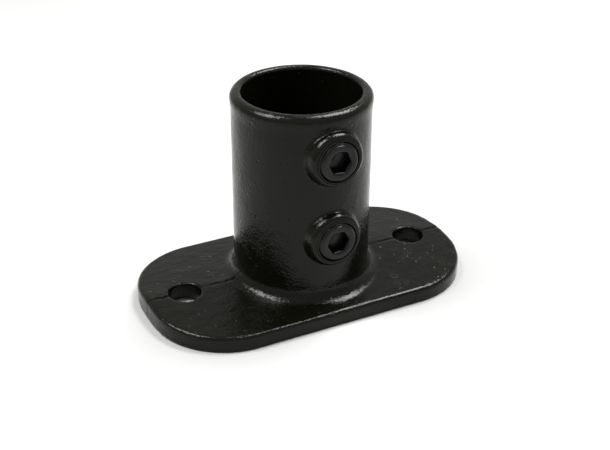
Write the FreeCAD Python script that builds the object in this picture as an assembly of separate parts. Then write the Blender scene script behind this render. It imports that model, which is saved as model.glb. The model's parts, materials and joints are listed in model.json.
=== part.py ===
import FreeCAD, Part
import math
import os

# A stanchion base: an oval, two-hole foot with an upright socket for a 48.3 mm round tube.
# The foot, the socket and the two bosses on its side are one malleable iron casting.  A socket
# set screw in each boss is driven inwards with a hexagon key until it grips the tube.
#
# Frame: X along the foot's long side, Y across it, Z up the socket.  The screws point to -Y.
# The origin is the centre of the underside.  All lengths are in millimetres.

os.makedirs("parts", exist_ok=True)

# Socket for the tube
BORE_RADIUS = 24.75              # clearance on a tube of 48.3 mm outside diameter
SOCKET_HEIGHT = 91.1
SOCKET_TOP_RADIUS = 29.2         # the outside grows a little towards the foot
SOCKET_FOOT_RADIUS = 29.35
MOUTH_CHAMFER = 0.6              # where the bore meets the underside
MOUTH_ROUNDING = 1.3             # where the bore meets the rim

# Rim round the socket's mouth, a little proud of the socket's outside
RIM_RADIUS = 29.6
RIM_HEIGHT = 8.0
RIM_ROUNDING = 3.0

# Foot: highest along its centre line, with a slope to each long side
FOOT_LENGTH = 144.2
FOOT_WIDTH = 79.6
FOOT_CORNER_RADIUS = 33.0
FOOT_END_RADIUS = 120.0
FOOT_RIDGE_HEIGHT = 9.2
FOOT_EDGE_HEIGHT = 6.7
FOOT_EDGE_ROUNDING = 1.0
FOOT_FILLET = 5.0

# Fixing holes, and the shallow relief under the foot round each of them
FIXING_SPACING = 110.0
FIXING_HOLE_RADIUS = 7.0
RELIEF_DEPTH = 1.6
RELIEF_INSET = 7.0               # width of the flat land left round the outline
RELIEF_SOCKET_RADIUS = 34.0

# Screw bosses
SCREW_HEIGHTS = {"lower_set_screw": 36.3, "upper_set_screw": 72.4}
BOSS_FACE_DISTANCE = 33.3        # from the socket's axis to the flat face of a boss
BOSS_FACE_RADIUS = 11.4
BOSS_BASE_DISTANCE = 25.5
BOSS_BASE_RADIUS = 12.4
BOSS_ROUNDING = 2.4

# Set screws with a 3/8 inch pipe thread
THREAD_MAJOR_RADIUS = 8.33
THREAD_CLEARANCE = 0.08
THREAD_MOUTH_CHAMFER = 0.6
SCREW_LENGTH = 8.8
SCREW_PROUD = 1.1                # how far a screw's face stands out of its boss, driven home
SCREW_EDGE_CHAMFER = 1.0
HEX_ACROSS_FLATS = 8.0
HEX_DEPTH = 4.8
HEX_MOUTH_RADIUS = 5.2
CUP_RADIUS = 5.6
CUP_DEPTH = 1.2

SEAM_ANGLE = 60.0                # turns the socket's seam away from the ridge and the bosses

UP = FreeCAD.Vector(0, 0, 1)
OUTWARD = FreeCAD.Vector(0, -1, 0)   # from the bore to the outside, along a screw


def point(x, y, z=0.0):
    return FreeCAD.Vector(x, y, z)


def arc_about(centre, radius, start, end):
    """An arc about a centre in the XY plane, counter-clockwise between two angles in degrees."""
    circle = Part.Circle(centre, UP, radius)
    return Part.Arc(circle, math.radians(start), math.radians(end)).toShape()


def foot_outline(inset):
    """The foot's outline: two straight sides, four corner arcs and two flatter end arcs."""
    half_length = FOOT_LENGTH / 2 - inset
    half_width = FOOT_WIDTH / 2 - inset
    corner_radius = FOOT_CORNER_RADIUS - inset
    end_radius = FOOT_END_RADIUS - inset
    end_centre = half_length - end_radius
    corner_y = half_width - corner_radius
    corner_x = end_centre + math.sqrt((end_radius - corner_radius) ** 2 - corner_y ** 2)
    join = math.degrees(math.atan2(corner_y, corner_x - end_centre))
    edges = []
    for side in (0, 180):
        sign = 1 if side == 0 else -1
        low_corner = point(sign * corner_x, -sign * corner_y)
        high_corner = point(sign * corner_x, sign * corner_y)
        edges.append(arc_about(low_corner, corner_radius, side - 90, side - join))
        edges.append(arc_about(point(sign * end_centre, 0), end_radius, side - join, side + join))
        edges.append(arc_about(high_corner, corner_radius, side + join, side + 90))
        edges.append(Part.makeLine(point(sign * corner_x, sign * half_width),
                                   point(-sign * corner_x, sign * half_width)))
    return Part.Face(Part.Wire(edges))


def foot_height(y):
    """The height of the foot's upper face at a distance from its centre line."""
    fall = FOOT_RIDGE_HEIGHT - FOOT_EDGE_HEIGHT
    return FOOT_RIDGE_HEIGHT - fall * abs(y) / (FOOT_WIDTH / 2)


def is_upper_edge(edge):
    """True for an edge of the foot's upper face, but not for the ridge along its middle."""
    on_top = all(abs(vertex.Z - foot_height(vertex.Y)) < 1e-6 for vertex in edge.Vertexes)
    is_ridge = all(abs(vertex.Y) < 1e-6 for vertex in edge.Vertexes)
    return on_top and not is_ridge


def foot():
    """The foot, roofed by two slopes that meet in a ridge along the centre line."""
    slab = foot_outline(0).extrude(UP * FOOT_RIDGE_HEIGHT)
    reach_x = FOOT_LENGTH
    reach_y = FOOT_WIDTH
    eaves = foot_height(reach_y)
    gable = Part.makePolygon([point(-reach_x, -reach_y, 0), point(-reach_x, reach_y, 0),
                              point(-reach_x, reach_y, eaves), point(-reach_x, 0, FOOT_RIDGE_HEIGHT),
                              point(-reach_x, -reach_y, eaves), point(-reach_x, -reach_y, 0)])
    roof = Part.Face(gable).extrude(point(2 * reach_x, 0))
    roofed = slab.common(roof)
    return roofed.makeFillet(FOOT_EDGE_ROUNDING, [edge for edge in roofed.Edges if is_upper_edge(edge)])


def socket():
    """The round socket, solid for now, turned from the profile of its fillet, wall and rim."""
    rim_foot = SOCKET_HEIGHT - RIM_HEIGHT
    rim_widest = SOCKET_HEIGHT - RIM_ROUNDING
    shoulder = RIM_RADIUS - RIM_ROUNDING
    middle = RIM_ROUNDING * math.sqrt(0.5)
    fillet_reach = SOCKET_FOOT_RADIUS + FOOT_FILLET
    fillet_low = foot_height(fillet_reach)
    fillet_high = fillet_low + FOOT_FILLET
    hollow = FOOT_FILLET * math.sqrt(0.5)
    rounding = Part.Arc(point(RIM_RADIUS, 0, rim_widest),
                        point(shoulder + middle, 0, rim_widest + middle),
                        point(shoulder, 0, SOCKET_HEIGHT)).toShape()
    fillet = Part.Arc(point(fillet_reach, 0, fillet_low),
                      point(fillet_reach - hollow, 0, fillet_high - hollow),
                      point(SOCKET_FOOT_RADIUS, 0, fillet_high)).toShape()
    outline = [Part.makeLine(point(0, 0, 0), point(fillet_reach, 0, 0)),
               Part.makeLine(point(fillet_reach, 0, 0), point(fillet_reach, 0, fillet_low)),
               fillet,
               Part.makeLine(point(SOCKET_FOOT_RADIUS, 0, fillet_high),
                             point(SOCKET_TOP_RADIUS, 0, rim_foot)),
               Part.makeLine(point(SOCKET_TOP_RADIUS, 0, rim_foot), point(RIM_RADIUS, 0, rim_widest)),
               rounding,
               Part.makeLine(point(shoulder, 0, SOCKET_HEIGHT), point(0, 0, SOCKET_HEIGHT)),
               Part.makeLine(point(0, 0, SOCKET_HEIGHT), point(0, 0, 0))]
    turned = Part.Face(Part.Wire(outline)).revolve(point(0, 0), UP, 360)
    return turned.rotate(point(0, 0), UP, SEAM_ANGLE)


def boss(height):
    """One tapered boss with a rounded shoulder, reaching into the socket's wall."""
    cone = Part.makeCone(BOSS_BASE_RADIUS, BOSS_FACE_RADIUS, BOSS_FACE_DISTANCE - BOSS_BASE_DISTANCE,
                         point(0, -BOSS_BASE_DISTANCE, height), OUTWARD)
    rim = [edge for edge in cone.Edges if is_circle(edge, BOSS_FACE_RADIUS)]
    return cone.makeFillet(BOSS_ROUNDING, rim)


def is_circle(edge, radius):
    """True for a circular edge of the given radius."""
    return isinstance(edge.Curve, Part.Circle) and abs(edge.Curve.Radius - radius) < 1e-6


def chamfered_hole(radius, chamfer, start, direction, length):
    """A cutting tool: a drill with a chamfer that opens at its far end."""
    drill = Part.makeCylinder(radius, length, start, direction)
    mouth = start + direction * (length - chamfer)
    return drill.fuse(Part.makeCone(radius, radius + 2 * chamfer, 2 * chamfer, mouth, direction))


def relief(side):
    """The shallow pocket under one end of the foot, on the +X side or the -X side."""
    pocket = foot_outline(RELIEF_INSET).extrude(UP * RELIEF_DEPTH)
    pocket = pocket.cut(Part.makeCylinder(RELIEF_SOCKET_RADIUS, RELIEF_DEPTH))
    half = Part.makeBox(FOOT_LENGTH, FOOT_WIDTH, RELIEF_DEPTH,
                        point(SOCKET_FOOT_RADIUS, -FOOT_WIDTH / 2, 0))
    if side < 0:
        half = half.mirror(point(0, 0), point(1, 0))
    return pocket.common(half)


def base_casting():
    """The one-piece casting: foot, socket and two bosses, bored and drilled."""
    bosses = [boss(height) for height in SCREW_HEIGHTS.values()]
    body = socket().fuse([foot()] + bosses)
    body = body.cut(chamfered_hole(BORE_RADIUS, MOUTH_CHAMFER, point(0, 0, SOCKET_HEIGHT), -UP, SOCKET_HEIGHT))
    mouth = [edge for edge in body.Edges if is_circle(edge, BORE_RADIUS) and edge.CenterOfMass.z > RIM_HEIGHT]
    body = body.makeFillet(MOUTH_ROUNDING, mouth)
    for height in SCREW_HEIGHTS.values():
        body = body.cut(chamfered_hole(THREAD_MAJOR_RADIUS + THREAD_CLEARANCE, THREAD_MOUTH_CHAMFER,
                                       point(0, 0, height), OUTWARD, BOSS_FACE_DISTANCE))
    for side in (-1, 1):
        fixing = point(side * FIXING_SPACING / 2, 0)
        body = body.cut(Part.makeCylinder(FIXING_HOLE_RADIUS, FOOT_RIDGE_HEIGHT, fixing))
        body = body.cut(relief(side))
    return body


def hexagon(across_flats, centre):
    """A regular hexagon in a plane across the screw, with a corner at the top."""
    corner_radius = across_flats / math.sqrt(3)
    corners = []
    for turn in range(7):
        angle = math.radians(60 * turn)
        corners.append(centre + point(corner_radius * math.sin(angle), 0, corner_radius * math.cos(angle)))
    return Part.Face(Part.makePolygon(corners))


def set_screw(height):
    """A headless screw whose face stands just out of its boss and whose tip is clear of the bore."""
    face = point(0, -BOSS_FACE_DISTANCE - SCREW_PROUD, height)
    tip = face - OUTWARD * SCREW_LENGTH
    body = Part.makeCylinder(THREAD_MAJOR_RADIUS, SCREW_LENGTH, tip, OUTWARD)
    body = body.makeChamfer(SCREW_EDGE_CHAMFER, [edge for edge in body.Edges
                                                 if is_circle(edge, THREAD_MAJOR_RADIUS)])
    key_way = hexagon(HEX_ACROSS_FLATS, face).extrude(OUTWARD * -HEX_DEPTH)
    drilled = Part.makeCone(0, HEX_ACROSS_FLATS / 2, 1.0, face - OUTWARD * (HEX_DEPTH + 1.0), OUTWARD)
    mouth = Part.makeCone(HEX_ACROSS_FLATS / 2, HEX_MOUTH_RADIUS, HEX_MOUTH_RADIUS - HEX_ACROSS_FLATS / 2,
                          face - OUTWARD * (HEX_MOUTH_RADIUS - HEX_ACROSS_FLATS / 2), OUTWARD)
    cup = Part.makeCone(CUP_RADIUS, CUP_RADIUS - CUP_DEPTH, CUP_DEPTH, tip, OUTWARD)
    for tool in (key_way, drilled, mouth, cup):
        body = body.cut(tool)
    return body


pieces = {"base_casting": base_casting()}
for name, height in SCREW_HEIGHTS.items():
    pieces[name] = set_screw(height)

for name, shape in pieces.items():
    print(name, "valid" if shape.isValid() else "BROKEN", len(shape.Solids), "solid", round(shape.Volume))
    shape.exportStep("parts/" + name + ".step")
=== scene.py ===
"""The looks of a stanchion base: a black-coated iron casting that holds a round tube, and its
two socket set screws.  Lengths are in metres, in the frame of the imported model: X along the
foot, Y across it, Z up the socket, and the screws point to -Y."""

import json
import math

import bpy
import numpy as np
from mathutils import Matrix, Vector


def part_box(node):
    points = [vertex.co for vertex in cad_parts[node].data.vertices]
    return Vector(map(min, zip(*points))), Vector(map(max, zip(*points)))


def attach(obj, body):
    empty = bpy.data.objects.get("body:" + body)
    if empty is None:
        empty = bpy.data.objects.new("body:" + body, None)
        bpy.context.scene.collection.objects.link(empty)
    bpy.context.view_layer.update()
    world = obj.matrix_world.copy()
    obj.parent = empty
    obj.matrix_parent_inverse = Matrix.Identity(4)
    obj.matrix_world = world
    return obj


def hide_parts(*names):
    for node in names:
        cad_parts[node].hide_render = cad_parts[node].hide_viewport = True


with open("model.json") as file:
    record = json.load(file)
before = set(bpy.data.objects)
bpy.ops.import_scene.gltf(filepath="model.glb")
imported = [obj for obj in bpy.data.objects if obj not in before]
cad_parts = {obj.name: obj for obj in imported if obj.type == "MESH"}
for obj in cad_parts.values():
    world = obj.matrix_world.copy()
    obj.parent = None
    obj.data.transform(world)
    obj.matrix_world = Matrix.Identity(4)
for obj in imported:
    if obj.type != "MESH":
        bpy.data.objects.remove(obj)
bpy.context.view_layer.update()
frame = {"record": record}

MM = 0.001


# ---------------------------------------------------------------- camera
# A catalogue view from above the foot's near left corner, on a short telephoto lens.

VIEW_AZIMUTH = math.radians(-27.1)
VIEW_ELEVATION = math.radians(29.3)
VIEW_ROLL = math.radians(0.3)
VIEW_DISTANCE = 0.4928
AIM_HEIGHT = 27.6 * MM
AIM_ACROSS = 1.7 * MM

backward = np.array([math.sin(VIEW_AZIMUTH) * math.cos(VIEW_ELEVATION),
                     -math.cos(VIEW_AZIMUTH) * math.cos(VIEW_ELEVATION),
                     math.sin(VIEW_ELEVATION)])
across = np.array([math.cos(VIEW_AZIMUTH), math.sin(VIEW_AZIMUTH), 0.0])
aim = np.array([0.0, 0.0, AIM_HEIGHT]) + across * AIM_ACROSS

camera = bpy.data.objects.new("camera", bpy.data.cameras.new("camera"))
camera.data.lens = 67.0
camera.data.sensor_width = 36.0
camera.location = aim + backward * VIEW_DISTANCE
camera.rotation_euler = (math.pi / 2 - VIEW_ELEVATION, 0.0, VIEW_AZIMUTH)
camera.rotation_euler.rotate_axis("Z", VIEW_ROLL)
bpy.context.scene.collection.objects.link(camera)
bpy.context.scene.camera = camera


# ---------------------------------------------------------------- studio
# A pale table in a plain white room, with two soft boxes high over the left and the right of the
# object and a dark gap between them, as for a catalogue picture of a glossy black thing.

def linear(colour):
    """The linear values of an sRGB hex colour, with an alpha of 1."""
    channels = [int(colour[i:i + 2], 16) / 255 for i in (1, 3, 5)]
    return [c / 12.92 if c <= 0.04045 else ((c + 0.055) / 1.055) ** 2.4 for c in channels] + [1.0]


def add_node(tree, kind, settings=None, inputs=None, links=None):
    """A new node, with its settings, its inputs' values and the outputs linked to its inputs."""
    node = tree.nodes.new(kind)
    for name, value in (settings or {}).items():
        setattr(node, name, value)
    for socket, value in (inputs or {}).items():
        node.inputs[socket].default_value = value
    for socket, output in (links or {}).items():
        tree.links.new(output, node.inputs[socket])
    return node


def new_material(name):
    """An empty node material with its shader and output, and the shader and the tree."""
    material = bpy.data.materials.new(name)
    material.use_nodes = True
    tree = material.node_tree
    tree.nodes.clear()
    shader = add_node(tree, "ShaderNodeBsdfPrincipled")
    add_node(tree, "ShaderNodeOutputMaterial", links={"Surface": shader.outputs["BSDF"]})
    return material, shader, tree


TABLE_SIZE = 6.0
ROOM_LIGHT = 0.6

table_mesh = bpy.data.meshes.new("table")
reach = TABLE_SIZE / 2
table_mesh.from_pydata([(-reach, -reach, 0), (reach, -reach, 0), (reach, reach, 0), (-reach, reach, 0)],
                       [], [(0, 1, 2, 3)])
table = bpy.data.objects.new("table", table_mesh)
bpy.context.scene.collection.objects.link(table)
table_paint, shader, tree = new_material("matt_white_table")
shader.inputs["Base Color"].default_value = linear("#b4b4b3")
shader.inputs["Roughness"].default_value = 0.9
shader.inputs["Specular IOR Level"].default_value = 0.1
table_mesh.materials.append(table_paint)

world = bpy.data.worlds.new("room")
world.use_nodes = True
world.node_tree.nodes["Background"].inputs["Color"].default_value = linear("#fdfdfb")
world.node_tree.nodes["Background"].inputs["Strength"].default_value = ROOM_LIGHT
bpy.context.scene.world = world
bpy.context.scene.view_settings.view_transform = "Standard"


def soft_box(name, place, width, height, brightness):
    """A rectangular area light that faces the socket, with the radiance given."""
    light = bpy.data.lights.new(name, "AREA")
    light.shape = "RECTANGLE"
    light.size = width
    light.size_y = height
    light.energy = brightness * math.pi * width * height
    lamp = bpy.data.objects.new(name, light)
    lamp.location = place
    away = np.array(place) - aim
    turn = math.atan2(away[0], -away[1])
    tilt = math.atan2(math.hypot(away[0], away[1]), away[2])
    lamp.rotation_euler = (tilt, 0.0, turn)
    bpy.context.scene.collection.objects.link(lamp)


soft_box("left_box", (-0.46, 0.13, 0.80), 0.34, 0.44, 19.0)
soft_box("right_box", (0.38, 0.07, 0.79), 0.44, 0.42, 19.0)


# ---------------------------------------------------------------- base casting
# Foot, tube socket and two screw bosses in one piece of malleable iron, cast in sand on a parting
# line along the foot's middle, then drilled, tapped and dipped in a glossy black coating.  Its
# corners are all rounded and its inner angles filled, as they are when iron runs into sand.

mounts = {mount["name"]: mount for mount in frame["record"]["mounts"]}
casting_low, casting_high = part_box("base_casting")
screw_boxes = [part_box("lower_set_screw"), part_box("upper_set_screw")]

BORE = mounts["tube_socket"]["dims"]["r_mm"] * MM
SOCKET_HEIGHT = casting_high.z
SOCKET_TOP = 29.2 * MM
SOCKET_BOTTOM = 29.35 * MM
RIM = 29.6 * MM
RIM_HEIGHT = 8.0 * MM
RIM_ROUNDING = 3.0 * MM
MOUTH_ROUNDING = 1.3 * MM
FOOT_HALF_LENGTH = casting_high.x
FOOT_HALF_WIDTH = casting_high.y
FOOT_CORNER = 33.0 * MM
FOOT_END = 120.0 * MM
FOOT_RIDGE = 9.2 * MM
FOOT_EDGE = 6.7 * MM
FOOT_EDGE_ROUNDING = 1.6 * MM
FOOT_FILLET = 5.5 * MM
SEAM_DEPTH = 0.35 * MM
SEAM_WIDTH = 0.55 * MM
SEAM_SWINGS = ((0.4 * MM, 4.3 * MM, 0), (0.25 * MM, 1.9 * MM, 1))    # height, length and start
FIXING_X = mounts["fixing_holes"]["dims"]["spacing_x_mm"] / 2 * MM
FIXING_RADIUS = mounts["fixing_holes"]["dims"]["hole_r_mm"] * MM
RELIEF_DEPTH = 1.6 * MM
RELIEF_INSET = 7.0 * MM
RELIEF_SOCKET = 34.0 * MM
BOSS_FACE = 33.3 * MM
BOSS_FACE_RADIUS = 11.4 * MM
BOSS_BASE = 25.5 * MM
BOSS_BASE_RADIUS = 12.4 * MM
BOSS_ROUNDING = 2.4 * MM
BOSS_FILLET = 0.7 * MM
THREAD_SEAT = 9.2 * MM           # the thread itself is a finer mesh, set into this hole
SMALL_ROUNDING = 0.5 * MM
MESH_STEP = 0.83 * MM
EVENING_ROUNDS = 6
EVENING_SHARE = 0.6              # how far a point moves towards the middle of its neighbours
screw_heights = [(low.z + high.z) / 2 for low, high in screw_boxes]

end_centre = FOOT_HALF_LENGTH - FOOT_END
corner_y = FOOT_HALF_WIDTH - FOOT_CORNER
corner_x = end_centre + math.sqrt((FOOT_END - FOOT_CORNER) ** 2 - corner_y ** 2)


def fillet(a, b, radius):
    """Two solids together, with a hollow of that radius in the angle between them."""
    return np.maximum(radius, np.minimum(a, b)) - np.hypot(np.maximum(radius - a, 0),
                                                           np.maximum(radius - b, 0))


def rounded(a, b, radius):
    """What two solids share, with the edge where they meet rounded to that radius."""
    return np.minimum(-radius, np.maximum(a, b)) + np.hypot(np.maximum(radius + a, 0),
                                                            np.maximum(radius + b, 0))


def foot_outline(x, y):
    """The distance outside the foot's outline: straight sides, corner arcs and flatter ends."""
    x, y = abs(x), abs(y)
    side = y - FOOT_HALF_WIDTH
    corner = np.hypot(x - corner_x, y - corner_y) - FOOT_CORNER
    end = np.hypot(x - end_centre, y) - FOOT_END
    by_end = y * (corner_x - end_centre) < corner_y * (x - end_centre)
    return np.where(x < corner_x, side, np.where(by_end, end, corner))


def casting(x, y, z):
    """The distance outside the casting, negative inside it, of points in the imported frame."""
    radius = np.hypot(x, y)
    rise = np.clip((z - SOCKET_HEIGHT + RIM_HEIGHT) / (RIM_HEIGHT - RIM_ROUNDING), 0, 1)
    wall = SOCKET_BOTTOM + (SOCKET_TOP - SOCKET_BOTTOM) * z / SOCKET_HEIGHT
    wall = wall + (RIM - SOCKET_TOP) * rise * rise * (3 - 2 * rise)
    socket = rounded(radius - wall, z - SOCKET_HEIGHT, RIM_ROUNDING)

    outline = foot_outline(x, y)
    slope = (FOOT_RIDGE - FOOT_EDGE) / FOOT_HALF_WIDTH
    off_seam = y - sum(swing * np.sin(x / length + start) for swing, length, start in SEAM_SWINGS)
    seam = SEAM_DEPTH * np.exp(-(off_seam / SEAM_WIDTH) ** 2)
    foot = rounded(outline, z - FOOT_RIDGE + slope * abs(y) + seam, FOOT_EDGE_ROUNDING)
    solid = fillet(socket, foot, FOOT_FILLET)

    taper = (BOSS_BASE_RADIUS - BOSS_FACE_RADIUS) / (BOSS_FACE - BOSS_BASE)
    for height in screw_heights:
        from_axis = np.hypot(x, z - height)
        flank = from_axis - BOSS_FACE_RADIUS + taper * (-y - BOSS_FACE)
        boss = np.maximum(rounded(flank, -y - BOSS_FACE, BOSS_ROUNDING), y)
        solid = fillet(solid, boss, BOSS_FILLET)
        drill = np.maximum(from_axis - THREAD_SEAT, y)
        solid = rounded(solid, -drill, SMALL_ROUNDING)

    mouth = np.where(z > SOCKET_HEIGHT - RIM_HEIGHT, MOUTH_ROUNDING, SMALL_ROUNDING)
    solid = rounded(solid, BORE - radius, mouth)
    fixing = np.hypot(abs(x) - FIXING_X, y) - FIXING_RADIUS
    relief = np.maximum(np.maximum(outline + RELIEF_INSET, RELIEF_SOCKET - radius),
                        np.maximum(z - RELIEF_DEPTH, SOCKET_BOTTOM - abs(x)))
    solid = rounded(solid, -relief, SMALL_ROUNDING)
    solid = rounded(solid, -fixing, SMALL_ROUNDING)
    return rounded(solid, -z, SMALL_ROUNDING)


def settle(points, solid, step):
    """The points moved onto the solid's surface, straight up or down its slope.  Where the slope
    nearly vanishes, at the middle of a hollow, the move is held small."""
    probe = 0.05 * step
    least_steepness = 0.2
    for _ in range(2):
        slope = np.stack([solid(*(points + probe * axis).T) - solid(*(points - probe * axis).T)
                          for axis in np.eye(3)], 1) / (2 * probe)
        steepness = np.maximum((slope ** 2).sum(1), least_steepness)
        points = points - slope * (solid(*points.T) / steepness)[:, None]
    return points


def skin(solid, low, high, step, rounds):
    """A closed mesh of four-sided faces on the surface of a solid: the points and the faces.
    Every cell of a grid that the surface crosses has one point, and the points are then evened
    out over the surface a few times."""
    lines = [np.arange(a - 2.5 * step, b + 2.5 * step, step) for a, b in zip(low, high)]
    inside = solid(*np.meshgrid(*lines, indexing="ij")) < 0
    n, m, p = (size - 1 for size in inside.shape)
    corners = sum(inside[i:i + n, j:j + m, k:k + p].astype(np.int8)
                  for i in (0, 1) for j in (0, 1) for k in (0, 1))
    crossed = (corners > 0) & (corners < 8)
    number = np.full(crossed.shape, -1)
    number[crossed] = np.arange(crossed.sum())
    points = (np.argwhere(crossed) + 0.5) * step + np.array([line[0] for line in lines])

    faces = []
    for axis in range(3):
        solid_line = np.moveaxis(inside, axis, 0)[:, 1:-1, 1:-1]
        cell = np.moveaxis(number, axis, 0)
        i, j, k = np.nonzero(solid_line[:-1] != solid_line[1:])
        ring = np.stack([cell[i, j, k], cell[i, j + 1, k], cell[i, j + 1, k + 1], cell[i, j, k + 1]], 1)
        outwards = solid_line[i, j, k] == (axis != 1)
        faces.append(np.where(outwards[:, None], ring, ring[:, ::-1]))
    faces = np.concatenate(faces)

    ends = np.concatenate([faces[:, [i, (i + 1) % 4]] for i in range(4)])
    neighbours = np.bincount(ends[:, 0], minlength=len(points))[:, None]
    points = settle(points, solid, step)
    for _ in range(rounds):
        total = np.stack([np.bincount(ends[:, 0], points[ends[:, 1], axis], len(points))
                          for axis in range(3)], 1)
        points = settle(points + EVENING_SHARE * (total / neighbours - points), solid, step)
    return points, faces


def smooth_mesh(name, points, faces):
    """A smooth-shaded mesh of those points and faces."""
    mesh = bpy.data.meshes.new(name)
    mesh.from_pydata(points.tolist(), [], faces.tolist())
    mesh.polygons.foreach_set("use_smooth", np.ones(len(mesh.polygons), bool))
    mesh.update()
    return mesh


def as_cast(x, y, z):
    """1 on the casting's own skin, falling to 0 where a drill or a mill has cut it."""
    from_cuts = [np.hypot(x, y) - BORE, z, np.hypot(abs(x) - FIXING_X, y) - FIXING_RADIUS]
    from_cuts += [np.where(y < 0, np.hypot(x, z - height) - THREAD_SEAT, 1) for height in screw_heights]
    return np.clip(np.minimum.reduce(from_cuts) / SKIN_FADE, 0, 1)


def new_tree(name, inputs):
    """A geometry node tree with those inputs after its geometry, and the outputs that give them."""
    tree = bpy.data.node_groups.new(name, "GeometryNodeTree")
    tree.interface.new_socket("Geometry", in_out="OUTPUT", socket_type="NodeSocketGeometry")
    tree.interface.new_socket("Geometry", in_out="INPUT", socket_type="NodeSocketGeometry")
    tree.interface.new_socket("Material", in_out="INPUT", socket_type="NodeSocketMaterial")
    for label in inputs:
        tree.interface.new_socket(label, in_out="INPUT", socket_type="NodeSocketFloat")
    return tree, add_node(tree, "NodeGroupInput").outputs


def shift_points(tree, given, chosen, offset):
    """The end of a tree that moves chosen points: the shift, the realised geometry, its material."""
    moved = add_node(tree, "GeometryNodeSetPosition",
                     links={"Geometry": given["Geometry"], "Selection": chosen, "Offset": offset})
    real = add_node(tree, "GeometryNodeRealizeInstances", links={0: moved.outputs[0]})
    finished = add_node(tree, "GeometryNodeSetMaterial",
                        links={"Geometry": real.outputs[0], "Material": given["Material"]})
    add_node(tree, "NodeGroupOutput", links={0: finished.outputs[0]})


def worked_object(name, mesh, tree, values):
    """An object with the plain mesh that the tree makes of a mesh with those values."""
    blank = bpy.data.objects.new(name, mesh)
    bpy.context.scene.collection.objects.link(blank)
    modifier = blank.modifiers.new(name, "NODES")
    modifier.node_group = tree
    for item in tree.interface.items_tree:
        if item.in_out == "INPUT" and item.name in values:
            modifier[item.identifier] = values[item.name]
    worked = bpy.data.meshes.new_from_object(blank.evaluated_get(bpy.context.evaluated_depsgraph_get()))
    worked.name = name
    blank.modifiers.remove(modifier)
    blank.data = worked
    return blank


WAVE_HEIGHT = 0.22 * MM
WAVE_LENGTH = 11.0 * MM
RIPPLE_HEIGHT = 0.26 * MM
RIPPLE_LENGTH = 2.6 * MM
RIPPLE_STRETCH = 0.45            # ripples run along the foot
RIPPLE_CEILING = 12.0 * MM       # above this the socket is smoother
SKIN_FADE = 1.5 * MM
SKIN_SEED = 4.0

# The skin of a sand casting: long low waves all over, with ripples on the foot.
skin_tree, given = new_tree("cast_skin", ["Wave Height", "Wave Length", "Ripple Height",
                                          "Ripple Length", "Ripple Ceiling", "Seed"])
place = add_node(skin_tree, "GeometryNodeInputPosition").outputs[0]
wave_scale = add_node(skin_tree, "ShaderNodeMath", {"operation": "DIVIDE"}, {0: 1.0},
                      {1: given["Wave Length"]}).outputs[0]
waves = add_node(skin_tree, "ShaderNodeTexNoise", {"noise_dimensions": "4D"}, {"Detail": 1.0},
                 {"Vector": place, "W": given["Seed"], "Scale": wave_scale}).outputs[0]
wave_rise = add_node(skin_tree, "ShaderNodeMath", {"operation": "SUBTRACT"}, {1: 0.5},
                     {0: waves}).outputs[0]
wave_rise = add_node(skin_tree, "ShaderNodeMath", {"operation": "MULTIPLY"},
                     links={0: wave_rise, 1: given["Wave Height"]}).outputs[0]
stretched = add_node(skin_tree, "ShaderNodeVectorMath", {"operation": "MULTIPLY"},
                     {1: (RIPPLE_STRETCH, 1.0, 1.0)}, {0: place}).outputs[0]
ripple_scale = add_node(skin_tree, "ShaderNodeMath", {"operation": "DIVIDE"}, {0: 1.0},
                        {1: given["Ripple Length"]}).outputs[0]
ripples = add_node(skin_tree, "ShaderNodeTexNoise", {"noise_dimensions": "4D"}, {"Detail": 2.0},
                   {"Vector": stretched, "W": given["Seed"], "Scale": ripple_scale}).outputs[0]
ripple_rise = add_node(skin_tree, "ShaderNodeMath", {"operation": "SUBTRACT"}, {1: 0.5},
                       {0: ripples}).outputs[0]
ripple_rise = add_node(skin_tree, "ShaderNodeMath", {"operation": "MULTIPLY"},
                       links={0: ripple_rise, 1: given["Ripple Height"]}).outputs[0]
height = add_node(skin_tree, "ShaderNodeSeparateXYZ", links={0: place}).outputs["Z"]
on_foot = add_node(skin_tree, "ShaderNodeMath", {"operation": "LESS_THAN"},
                   links={0: height, 1: given["Ripple Ceiling"]}).outputs[0]
rise = add_node(skin_tree, "ShaderNodeMath", {"operation": "MULTIPLY_ADD"},
                links={0: ripple_rise, 1: on_foot, 2: wave_rise}).outputs[0]
skin_share = add_node(skin_tree, "GeometryNodeInputNamedAttribute", {"data_type": "FLOAT"},
                      {"Name": "as_cast"}).outputs[0]
rise = add_node(skin_tree, "ShaderNodeMath", {"operation": "MULTIPLY"},
                links={0: rise, 1: skin_share}).outputs[0]
outwards = add_node(skin_tree, "GeometryNodeInputNormal").outputs[0]
lift = add_node(skin_tree, "ShaderNodeVectorMath", {"operation": "SCALE"},
                links={0: outwards, "Scale": rise}).outputs[0]
skinned = add_node(skin_tree, "ShaderNodeMath", {"operation": "GREATER_THAN"}, {1: 0.0},
                   {0: skin_share}).outputs[0]
shift_points(skin_tree, given, skinned, lift)

# A bitumen-like black dip coat over the cast skin: nearly black and glossy, duller and coarser in
# patches.  The sand's grain and small pits show through, and a torn flash line stays dull.
GRAIN_LENGTH = 1.2 * MM
GRAIN_HEIGHT = 0.17 * MM
PIT_SPACING = 4.5 * MM
PIT_DEPTH = 0.14 * MM
PIT_FLOOR = 0.06                 # as shares of the spacing
PIT_LIP = 0.16
PATCH_LENGTH = 7.0 * MM
CRACK_LENGTH = 3.0 * MM
CRACK_WANDER = 1.3 * MM
CRACK_HALF_WIDTH = 0.7 * MM
CRACK_CEILING = FOOT_RIDGE + 1.0 * MM

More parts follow.
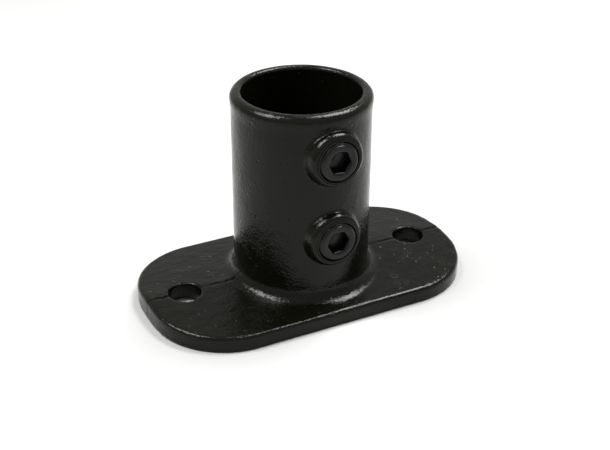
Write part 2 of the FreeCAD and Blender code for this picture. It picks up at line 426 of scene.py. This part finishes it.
black_coat, shader, tree = new_material("black_dip_coat_on_iron")
shader.inputs["Base Color"].default_value = linear("#090905")
shader.inputs["IOR"].default_value = 1.28
place = add_node(tree, "ShaderNodeTexCoord").outputs["Object"]
grain = add_node(tree, "ShaderNodeTexNoise", {"noise_dimensions": "3D"},
                 {"Scale": 1 / GRAIN_LENGTH, "Detail": 3.0, "Roughness": 0.6}, {"Vector": place}).outputs[0]
patches = add_node(tree, "ShaderNodeTexNoise", {"noise_dimensions": "3D"},
                   {"Scale": 1 / PATCH_LENGTH, "Detail": 3.0}, {"Vector": place}).outputs[0]
coarse = add_node(tree, "ShaderNodeMapRange", inputs={"From Min": 0.45, "From Max": 0.65,
                                                      "To Min": 0.8, "To Max": 1.5},
                  links={"Value": patches}).outputs[0]
grain = add_node(tree, "ShaderNodeMath", {"operation": "MULTIPLY"}, links={0: grain, 1: coarse}).outputs[0]
grain_bump = add_node(tree, "ShaderNodeBump", inputs={"Distance": GRAIN_HEIGHT}, links={"Height": grain})
spots = add_node(tree, "ShaderNodeTexVoronoi", inputs={"Scale": 1 / PIT_SPACING},
                 links={"Vector": place}).outputs["Distance"]
pits = add_node(tree, "ShaderNodeMapRange", {"interpolation_type": "SMOOTHSTEP"},
                {"From Min": PIT_FLOOR, "From Max": PIT_LIP}, {"Value": spots}).outputs[0]
pit_bump = add_node(tree, "ShaderNodeBump", inputs={"Distance": PIT_DEPTH},
                    links={"Height": pits, "Normal": grain_bump.outputs[0]})
wander = add_node(tree, "ShaderNodeTexNoise", {"noise_dimensions": "3D"},
                  {"Scale": 1 / CRACK_LENGTH, "Detail": 4.0, "Roughness": 0.7}, {"Vector": place}).outputs[0]
wander = add_node(tree, "ShaderNodeMath", {"operation": "MULTIPLY_ADD"},
                  {1: 2 * CRACK_WANDER, 2: -CRACK_WANDER}, {0: wander}).outputs[0]
place_parts = add_node(tree, "ShaderNodeSeparateXYZ", links={0: place}).outputs
off_crack = add_node(tree, "ShaderNodeMath", {"operation": "ADD"},
                     links={0: place_parts["Y"], 1: wander}).outputs[0]
off_crack = add_node(tree, "ShaderNodeMath", {"operation": "ABSOLUTE"}, links={0: off_crack}).outputs[0]
crack = add_node(tree, "ShaderNodeMapRange", {"interpolation_type": "SMOOTHSTEP"},
                 {"From Min": 0.3 * CRACK_HALF_WIDTH, "From Max": CRACK_HALF_WIDTH,
                  "To Min": 1.0, "To Max": 0.0},
                 {"Value": off_crack}).outputs[0]
on_foot = add_node(tree, "ShaderNodeMath", {"operation": "LESS_THAN"}, {1: CRACK_CEILING},
                   {0: place_parts["Z"]}).outputs[0]
crack = add_node(tree, "ShaderNodeMath", {"operation": "MULTIPLY"}, links={0: crack, 1: on_foot}).outputs[0]
gloss = add_node(tree, "ShaderNodeMapRange", inputs={"To Min": 0.5, "To Max": 0.03}, links={"Value": crack})
tree.links.new(gloss.outputs[0], shader.inputs["Specular IOR Level"])
dullness = add_node(tree, "ShaderNodeMapRange", inputs={"From Min": 0.3, "From Max": 0.7,
                                                        "To Min": 0.06, "To Max": 0.12},
                    links={"Value": patches})
tree.links.new(dullness.outputs[0], shader.inputs["Roughness"])
tree.links.new(pit_bump.outputs[0], shader.inputs["Normal"])

points, faces = skin(casting, casting_low, casting_high, MESH_STEP, EVENING_ROUNDS)
plain_mesh = smooth_mesh("smooth_casting", points, faces)
skin_mask = plain_mesh.attributes.new("as_cast", "FLOAT", "POINT")
skin_mask.data.foreach_set("value", as_cast(*points.T))
body = worked_object("cast_body", plain_mesh, skin_tree,
                     {"Material": black_coat, "Wave Height": WAVE_HEIGHT, "Wave Length": WAVE_LENGTH,
                      "Ripple Height": RIPPLE_HEIGHT, "Ripple Length": RIPPLE_LENGTH,
                      "Ripple Ceiling": RIPPLE_CEILING, "Seed": SKIN_SEED})
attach(body, "casting")
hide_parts("base_casting")


# ---------------------------------------------------------------- threaded holes
# The tapped hole of each boss, from the boss's flat face down to the bore, as a lining that
# belongs to the casting.  The drill leaves a wider lead at the mouth, the tap a rounded pipe thread.

THREAD_PITCH = 1.337 * MM
THREAD_DEPTH = 0.9 * MM
HOLE_RADIUS = 8.41 * MM
HOLE_RELIEF = 0.45 * MM           # the wider lead at the hole's mouth
HOLE_LEAD = 1.3 * MM              # plain stretch before the thread starts
RING_RADIUS = 9.3 * MM           # the flat of the boss round the mouth
RING_BEVEL = 0.15 * MM
RING_PROUD = 0.03 * MM
LINING_BURIED = 0.1 * MM         # how far the lining stops short of the bore's wall
LINING_LIP = 0.02 * MM
LINING_RINGS = 56
AROUND = 192

# A round thread cut into a turned blank, inwards from the crest radius with a Side of 1, or
# outwards with a Side of -1.
thread_tree, given = new_tree("round_thread", ["Axis Height", "Pitch", "Depth", "Crest Radius",
                                               "Side", "Start"])
place = add_node(thread_tree, "GeometryNodeInputPosition").outputs[0]
parts = add_node(thread_tree, "ShaderNodeSeparateXYZ", links={0: place}).outputs
up = add_node(thread_tree, "ShaderNodeMath", {"operation": "SUBTRACT"},
              links={0: parts["Z"], 1: given["Axis Height"]}).outputs[0]
arm = add_node(thread_tree, "ShaderNodeCombineXYZ", links={"X": parts["X"], "Z": up}).outputs[0]
radius = add_node(thread_tree, "ShaderNodeVectorMath", {"operation": "LENGTH"},
                  links={0: arm}).outputs["Value"]
turned = add_node(thread_tree, "ShaderNodeMath", {"operation": "ARCTAN2"},
                  links={0: parts["X"], 1: up}).outputs[0]
turns = add_node(thread_tree, "ShaderNodeMath", {"operation": "DIVIDE"},
                 links={0: parts["Y"], 1: given["Pitch"]}).outputs[0]
phase = add_node(thread_tree, "ShaderNodeMath", {"operation": "MULTIPLY_ADD"}, {1: -2 * math.pi},
                 {0: turns, 2: turned}).outputs[0]
wave = add_node(thread_tree, "ShaderNodeMath", {"operation": "COSINE"}, links={0: phase}).outputs[0]
share = add_node(thread_tree, "ShaderNodeMath", {"operation": "MULTIPLY_ADD"}, {1: -0.5, 2: 0.5},
                 {0: wave}).outputs[0]
cut = add_node(thread_tree, "ShaderNodeMath", {"operation": "MULTIPLY"},
               links={0: share, 1: given["Depth"]}).outputs[0]
crest = add_node(thread_tree, "ShaderNodeMath", {"operation": "MULTIPLY"},
                 links={0: given["Crest Radius"], 1: given["Side"]}).outputs[0]
limit = add_node(thread_tree, "ShaderNodeMath", {"operation": "SUBTRACT"},
                 links={0: crest, 1: cut}).outputs[0]
blank = add_node(thread_tree, "ShaderNodeMath", {"operation": "MULTIPLY"},
                 links={0: radius, 1: given["Side"]}).outputs[0]
left = add_node(thread_tree, "ShaderNodeMath", {"operation": "MINIMUM"},
                links={0: blank, 1: limit}).outputs[0]
ratio = add_node(thread_tree, "ShaderNodeMath", {"operation": "DIVIDE"}, links={0: left, 1: blank}).outputs[0]
change = add_node(thread_tree, "ShaderNodeMath", {"operation": "SUBTRACT"}, {1: 1.0}, {0: ratio}).outputs[0]
offset = add_node(thread_tree, "ShaderNodeVectorMath", {"operation": "SCALE"},
                  links={0: arm, "Scale": change}).outputs[0]
from_start = add_node(thread_tree, "ShaderNodeMath", {"operation": "ADD"},
                      links={0: parts["Y"], 1: given["Start"]}).outputs[0]
past_start = add_node(thread_tree, "ShaderNodeMath", {"operation": "GREATER_THAN"}, {1: 0.0},
                      {0: from_start}).outputs[0]
shift_points(thread_tree, given, past_start, offset)


def lathe(name, height, turn, rings, closed):
    """A mesh turned about a screw's axis from rings of (radius, distance in front of the bore's
    axis), each a number or an array over the angles.  It is closed into a tube, or at its poles."""
    angles = np.arange(AROUND) * 2 * math.pi / AROUND + turn
    points = []
    for radius, front in rings:
        radius = np.broadcast_to(radius, AROUND)
        front = np.broadcast_to(front, AROUND)
        points.append(np.stack([radius * np.sin(angles), -front, height + radius * np.cos(angles)], 1))
    count = len(rings)
    number = np.arange(count * AROUND).reshape(count, AROUND)
    after = np.roll(number, -1, 1)
    pairs = [(k, (k + 1) % count) for k in range(count if closed else count - 1)]
    faces = [face for a, b in pairs
             for face in zip(number[a].tolist(), number[b].tolist(), after[b].tolist(), after[a].tolist())]
    if not closed:
        faces.append(number[0].tolist())
        faces.append(number[-1, ::-1].tolist())
    mesh = bpy.data.meshes.new(name)
    mesh.from_pydata(np.concatenate(points).tolist(), [], faces)
    mesh.polygons.foreach_set("use_smooth", np.ones(len(mesh.polygons), bool))
    mesh.update()
    mesh.set_sharp_from_angle(angle=math.radians(38))
    return mesh


angles = np.arange(AROUND) * 2 * math.pi / AROUND
face = BOSS_FACE + RING_PROUD
for name, height in zip(("lower", "upper"), screw_heights):
    hidden = RING_RADIUS + RING_BEVEL
    at_bore = np.sqrt((BORE + LINING_BURIED) ** 2 - (hidden * np.sin(angles)) ** 2)
    rings = [(hidden, at_bore), (hidden, face - RING_BEVEL), (RING_RADIUS, face),
             (HOLE_RADIUS + HOLE_RELIEF, face)]
    inner = np.sqrt((BORE + LINING_BURIED) ** 2 - (HOLE_RADIUS * np.sin(angles)) ** 2)
    for step in np.linspace(1, 0, LINING_RINGS):
        front = inner + (face - LINING_LIP - inner) * step
        lead = np.clip((HOLE_LEAD - face + front) / (0.4 * HOLE_LEAD), 0, 1)
        rings.append((HOLE_RADIUS + HOLE_RELIEF * lead, front))
    blank = lathe(name + "_tapped_hole", height, 0.0, rings, closed=True)
    lining = worked_object(name + "_tapped_hole", blank, thread_tree,
                           {"Material": black_coat, "Axis Height": height, "Pitch": THREAD_PITCH,
                            "Depth": THREAD_DEPTH, "Crest Radius": HOLE_RADIUS, "Side": -1.0,
                            "Start": face - HOLE_LEAD})
    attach(lining, "casting")


# ---------------------------------------------------------------- set screws
# Two headless steel screws with a pipe thread, a hexagon socket and a cup point, turned from bar,
# threaded and blackened in hot oil.  The oxide is a dark satin film on smooth metal.

THREAD_CREST = 8.33 * MM
CHAMFER_ACROSS = 1.1 * MM
CHAMFER_DEPTH = 0.8 * MM
HEX_FLATS = 8.0 * MM
HEX_DEPTH = 4.8 * MM
HEX_DRILL = 3.6 * MM              # the drilled cone in the floor of the hexagon
HEX_MOUTH = 5.5 * MM
HEX_MOUTH_DEPTH = 2.2 * MM
CUP_RADIUS = 5.6 * MM
CUP_DEPTH = 1.2 * MM
POLE_RADIUS = 0.2 * MM           # the small flat that ends a drilled cone
DRILL_DEPTH = 0.9 * MM
EDGE_BREAK = 0.08 * MM
END_LIP = 0.03 * MM
MOUTH_RINGS = 7
THREAD_RINGS = 74
HEX_TURNS = (math.radians(28), math.radians(35))      # of the lower and the upper screw

# A hot oil finish: a thin black oxide film, slightly uneven.
FILM_LENGTH = 0.8 * MM
FILM_HEIGHT = 0.012 * MM

blackened, shader, tree = new_material("oil_blackened_steel")
shader.inputs["Base Color"].default_value = linear("#090908")
shader.inputs["IOR"].default_value = 1.34
shader.inputs["Roughness"].default_value = 0.24
place = add_node(tree, "ShaderNodeTexCoord").outputs["Object"]
film = add_node(tree, "ShaderNodeTexNoise", {"noise_dimensions": "3D"},
                {"Scale": 1 / FILM_LENGTH, "Detail": 2.0}, {"Vector": place}).outputs[0]
film_bump = add_node(tree, "ShaderNodeBump", inputs={"Distance": FILM_HEIGHT}, links={"Height": film})
tree.links.new(film_bump.outputs[0], shader.inputs["Normal"])

hex_wall = HEX_FLATS / 2 / np.cos(angles % math.radians(60) - math.radians(30))
face = -screw_boxes[0][0].y
tip = -screw_boxes[0][1].y
hex_floor = face - HEX_DEPTH
for name, height, turn in zip(("lower", "upper"), screw_heights, HEX_TURNS):
    rings = [(POLE_RADIUS, hex_floor - DRILL_DEPTH), (HEX_DRILL, hex_floor),
             (hex_wall - EDGE_BREAK, hex_floor), (hex_wall, hex_floor + EDGE_BREAK)]
    for lean in np.radians(np.linspace(90, 0, MOUTH_RINGS)):
        rings.append((HEX_MOUTH - (HEX_MOUTH - hex_wall) * math.sin(lean),
                      face - HEX_MOUTH_DEPTH * (1 - math.cos(lean))))
    edge = THREAD_CREST - CHAMFER_ACROSS
    rings.append((edge - EDGE_BREAK, face))
    for step in np.linspace(0, 1, THREAD_RINGS):
        front = face - END_LIP + (tip - face + 2 * END_LIP) * step
        from_end = min(face - front, front - tip)
        rings.append((min(THREAD_CREST, edge + from_end * CHAMFER_ACROSS / CHAMFER_DEPTH), front))
    rings += [(edge - EDGE_BREAK, tip), (CUP_RADIUS, tip), (POLE_RADIUS, tip + CUP_DEPTH)]
    blank = lathe(name + "_screw", height, turn, rings[::-1], closed=False)
    screw = worked_object(name + "_screw", blank, thread_tree,
                          {"Material": blackened, "Axis Height": height, "Pitch": THREAD_PITCH,
                           "Depth": THREAD_DEPTH, "Crest Radius": THREAD_CREST, "Side": 1.0, "Start": 1.0})
    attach(screw, name + "_screw")
    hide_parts(name + "_set_screw")
